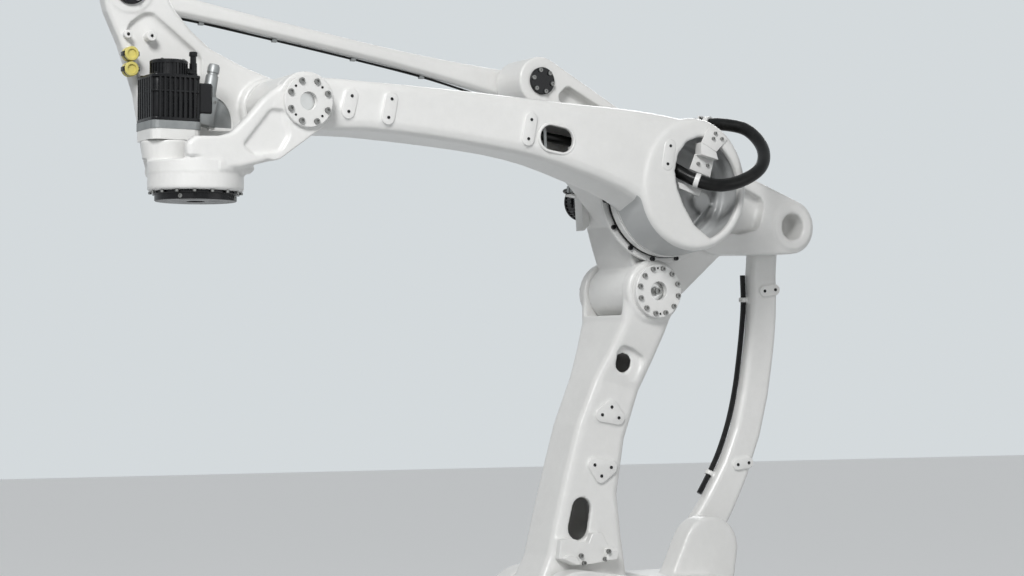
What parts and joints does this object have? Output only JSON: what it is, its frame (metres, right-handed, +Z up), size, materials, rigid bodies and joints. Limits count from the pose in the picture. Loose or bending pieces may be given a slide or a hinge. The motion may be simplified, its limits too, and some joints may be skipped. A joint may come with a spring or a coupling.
{
  "type": "palletizing robot arm",
  "caption": "White palletizing robot arm with parallel links that keep the wrist level, on a swivelling base, with servo motors, hoses and a tool flange.",
  "frame": {"origin": "on the floor, where the swivel axis meets the underside of the foot", "axes": "+Z up along the swivel axis, +X the way the arm reaches, +Y to the robot's left"},
  "size_m": [2.7623, 0.9976, 3.1505],
  "materials": {
    "white_paint": "satin paint",
    "black_satin": "satin",
    "machined_steel": "machined",
    "grey_metal": "satin",
    "black_rubber": "matte",
    "yellow_plastic": "satin"
  },
  "bodies": {
    "base": {"base_pedestal": "white_paint", "connector_panel": "black_satin", "slew_ring_fixed": "machined_steel"},
    "swivel": {"swivel_frame": "white_paint", "slew_ring_turning": "machined_steel", "swivel_reducer": "grey_metal", "swivel_motor": "black_satin", "swivel_motor_cap": "black_satin", "shoulder_reducer": "grey_metal", "shoulder_motor": "black_satin", "shoulder_motor_cap": "black_satin", "shoulder_cover": "white_paint", "foot_pin": "machined_steel"},
    "lower_arm": {"lower_arm": "white_paint", "shoulder_shaft": "machined_steel", "knee_pin": "machined_steel", "stop_bracket": "white_paint", "knee_flange_near": "white_paint", "knee_flange_far": "white_paint"},
    "rear_link": {"rear_link": "white_paint", "rear_link_bush_upper": "machined_steel", "rear_link_bush_lower": "machined_steel", "link_hose": "black_rubber"},
    "elbow_frame": {"elbow_frame": "white_paint", "elbow_reducer_case": "grey_metal", "elbow_motor": "black_satin", "elbow_motor_cap": "black_satin", "rear_pin": "machined_steel", "lever_pin": "machined_steel", "lever_pin_cap": "black_satin", "hose_stand": "white_paint", "knee_bearing_near": "machined_steel", "knee_bearing_far": "machined_steel", "elbow_hose": "black_rubber"},
    "upper_arm": {"upper_arm": "white_paint", "elbow_reducer_output": "grey_metal", "wrist_bush_far": "machined_steel", "wrist_bush_near": "machined_steel", "hose_bracket": "white_paint", "arm_hose": "black_rubber"},
    "upper_rod": {"upper_rod": "white_paint", "rod_bush_rear": "machined_steel", "rod_bush_front": "machined_steel"},
    "wrist_frame": {"wrist_frame": "white_paint", "wrist_pin": "machined_steel", "wrist_flange": "white_paint", "wrist_cap_far": "black_satin", "wrist_link_pin": "machined_steel", "wrist_link_cap": "black_satin", "motor_mount_plate": "white_paint", "motor_flange": "grey_metal", "tool_motor": "black_satin", "tool_motor_cap": "black_satin", "tool_reducer_ring": "black_satin", "motor_side_box": "black_satin", "power_plug": "grey_metal", "signal_socket_upper": "yellow_plastic", "signal_socket_lower": "yellow_plastic"},
    "tool": {"tool_flange": "black_satin"}
  },
  "joints": [
    {"name": "J1_swivel", "type": "hinge", "parent": "base", "child": "swivel", "pos_m": [0, 0, 0.34], "axis": [0, 0, 1], "range_deg": [-160, 160]},
    {"name": "J2_shoulder", "type": "hinge", "parent": "swivel", "child": "lower_arm", "pos_m": [0.4, 0, 0.9], "axis": [0, 1, 0], "range_deg": [-14.5, 95.5]},
    {"name": "J2_frame_follow", "type": "hinge", "parent": "lower_arm", "child": "elbow_frame", "pos_m": [0.06969, 0, 2.09105], "axis": [0, 1, 0], "range_deg": [-95.6, 14.6]},
    {"name": "J2_link_follow", "type": "hinge", "parent": "swivel", "child": "rear_link", "pos_m": [-0.224, 0, 1.152], "axis": [0, 1, 0], "range_deg": [-14.6, 95.6]},
    {"name": "J3_elbow", "type": "hinge", "parent": "elbow_frame", "child": "upper_arm", "pos_m": [0.03869, 0, 2.44705], "axis": [0, 1, 0], "range_deg": [-6.2, 58.8], "deforming": ["elbow_hose"]},
    {"name": "J3_rod_follow", "type": "hinge", "parent": "elbow_frame", "child": "upper_rod", "pos_m": [0.52669, 0, 2.82605], "axis": [0, 1, 0], "range_deg": [-6.3, 58.9]},
    {"name": "J3_wrist_follow", "type": "hinge", "parent": "upper_arm", "child": "wrist_frame", "pos_m": [1.52104, 0, 2.67653], "axis": [0, 1, 0], "range_deg": [-58.9, 6.3]},
    {"name": "J4_tool", "type": "hinge", "parent": "wrist_frame", "child": "tool", "pos_m": [1.84304, 0, 2.38], "axis": [0, 0, 1], "range_deg": [-360, 360]}
  ],
  "couplings": [
    {"joint": "J2_frame_follow", "follows": "J2_shoulder", "ratio": -1},
    {"joint": "J2_link_follow", "follows": "J2_shoulder", "ratio": 1},
    {"joint": "J3_rod_follow", "follows": "J3_elbow", "ratio": 1},
    {"joint": "J3_wrist_follow", "follows": "J3_elbow", "ratio": -1}
  ]
}
